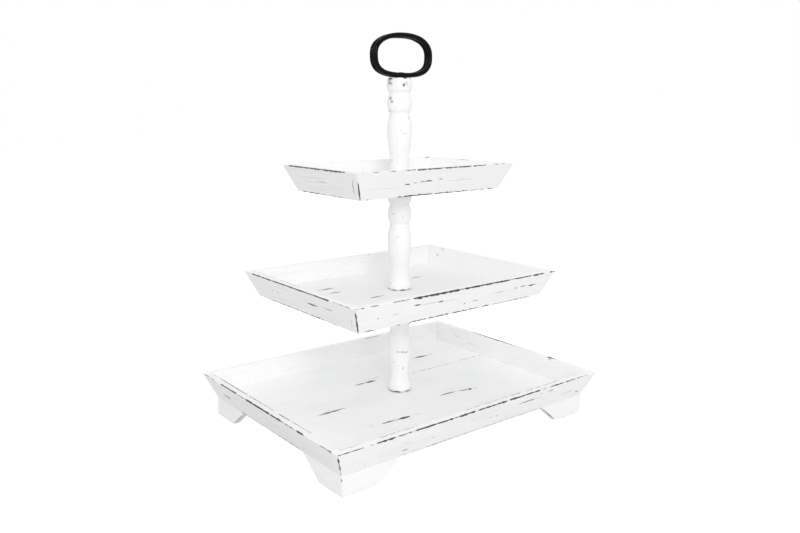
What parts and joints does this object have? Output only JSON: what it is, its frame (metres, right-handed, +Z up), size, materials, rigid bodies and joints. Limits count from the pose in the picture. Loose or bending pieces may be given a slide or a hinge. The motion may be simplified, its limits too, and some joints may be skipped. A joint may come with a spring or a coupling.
{
  "type": "tiered cake stand",
  "caption": "Tiered rectangular serving stand in distressed white painted wood, with flared trays on turned posts, bracket feet and a handle of two black metal loops.",
  "frame": {"origin": "on the surface the stand rests on, under the axis of the posts, at the centre of the base tray", "axes": "+Z up along the posts, +X along the long side of the trays, +Y from the front to the back"},
  "size_m": [0.406, 0.316, 0.4816],
  "materials": {
    "painted_board": "matt white chalk paint, worn to dark wood along the edges",
    "painted_floor": "matt white chalk paint with faint grain and dark scrapes",
    "painted_post": "matt white chalk paint, small chips, greyer in the grooves",
    "black_metal": "gloss black paint on bent round bar",
    "zinc_steel": "zinc plated",
    "insert_brass": "plain brass"
  },
  "bodies": {
    "base": {"base_wall_front": "painted_board", "base_wall_back": "painted_board", "base_wall_left": "painted_board", "base_wall_right": "painted_board", "base_floor_front": "painted_floor", "base_floor_rear": "painted_floor", "foot_front_left_long": "painted_board", "foot_front_left_short": "painted_board", "foot_front_right_long": "painted_board", "foot_front_right_short": "painted_board", "foot_back_left_long": "painted_board", "foot_back_left_short": "painted_board", "foot_back_right_long": "painted_board", "foot_back_right_short": "painted_board", "base_washer": "zinc_steel", "base_screw": "zinc_steel"},
    "lower_post": {"post_lower": "painted_post", "insert_lower_bottom": "insert_brass", "insert_lower_top": "insert_brass", "rod_lower": "zinc_steel"},
    "middle_tray": {"middle_wall_front": "painted_board", "middle_wall_back": "painted_board", "middle_wall_left": "painted_board", "middle_wall_right": "painted_board", "middle_floor": "painted_floor"},
    "middle_post": {"post_middle": "painted_post", "insert_middle_bottom": "insert_brass", "insert_middle_top": "insert_brass", "rod_upper": "zinc_steel"},
    "top_tray": {"top_wall_front": "painted_board", "top_wall_back": "painted_board", "top_wall_left": "painted_board", "top_wall_right": "painted_board", "top_floor": "painted_floor"},
    "upper_post": {"post_upper": "painted_post", "insert_upper_bottom": "insert_brass", "insert_upper_top": "insert_brass"},
    "handle": {"handle_loop_front": "black_metal", "handle_loop_back": "black_metal", "handle_weld": "black_metal", "handle_stud": "zinc_steel"}
  },
  "joints": [
    {"name": "lower_post_turn", "type": "hinge", "parent": "base", "child": "lower_post", "pos_m": [0, 0, 0.0332], "axis": [0, 0, 1], "continuous": true},
    {"name": "middle_tray_swivel", "type": "hinge", "parent": "lower_post", "child": "middle_tray", "pos_m": [0, 0, 0.159], "axis": [0, 0, 1], "continuous": true},
    {"name": "middle_post_turn", "type": "hinge", "parent": "lower_post", "child": "middle_post", "pos_m": [0, 0, 0.1682], "axis": [0, 0, 1], "continuous": true},
    {"name": "top_tray_swivel", "type": "hinge", "parent": "middle_post", "child": "top_tray", "pos_m": [0, 0, 0.294], "axis": [0, 0, 1], "continuous": true},
    {"name": "upper_post_turn", "type": "hinge", "parent": "middle_post", "child": "upper_post", "pos_m": [0, 0, 0.3032], "axis": [0, 0, 1], "continuous": true},
    {"name": "handle_turn", "type": "hinge", "parent": "upper_post", "child": "handle", "pos_m": [0, 0, 0.4288], "axis": [0, 0, 1], "continuous": true}
  ]
}
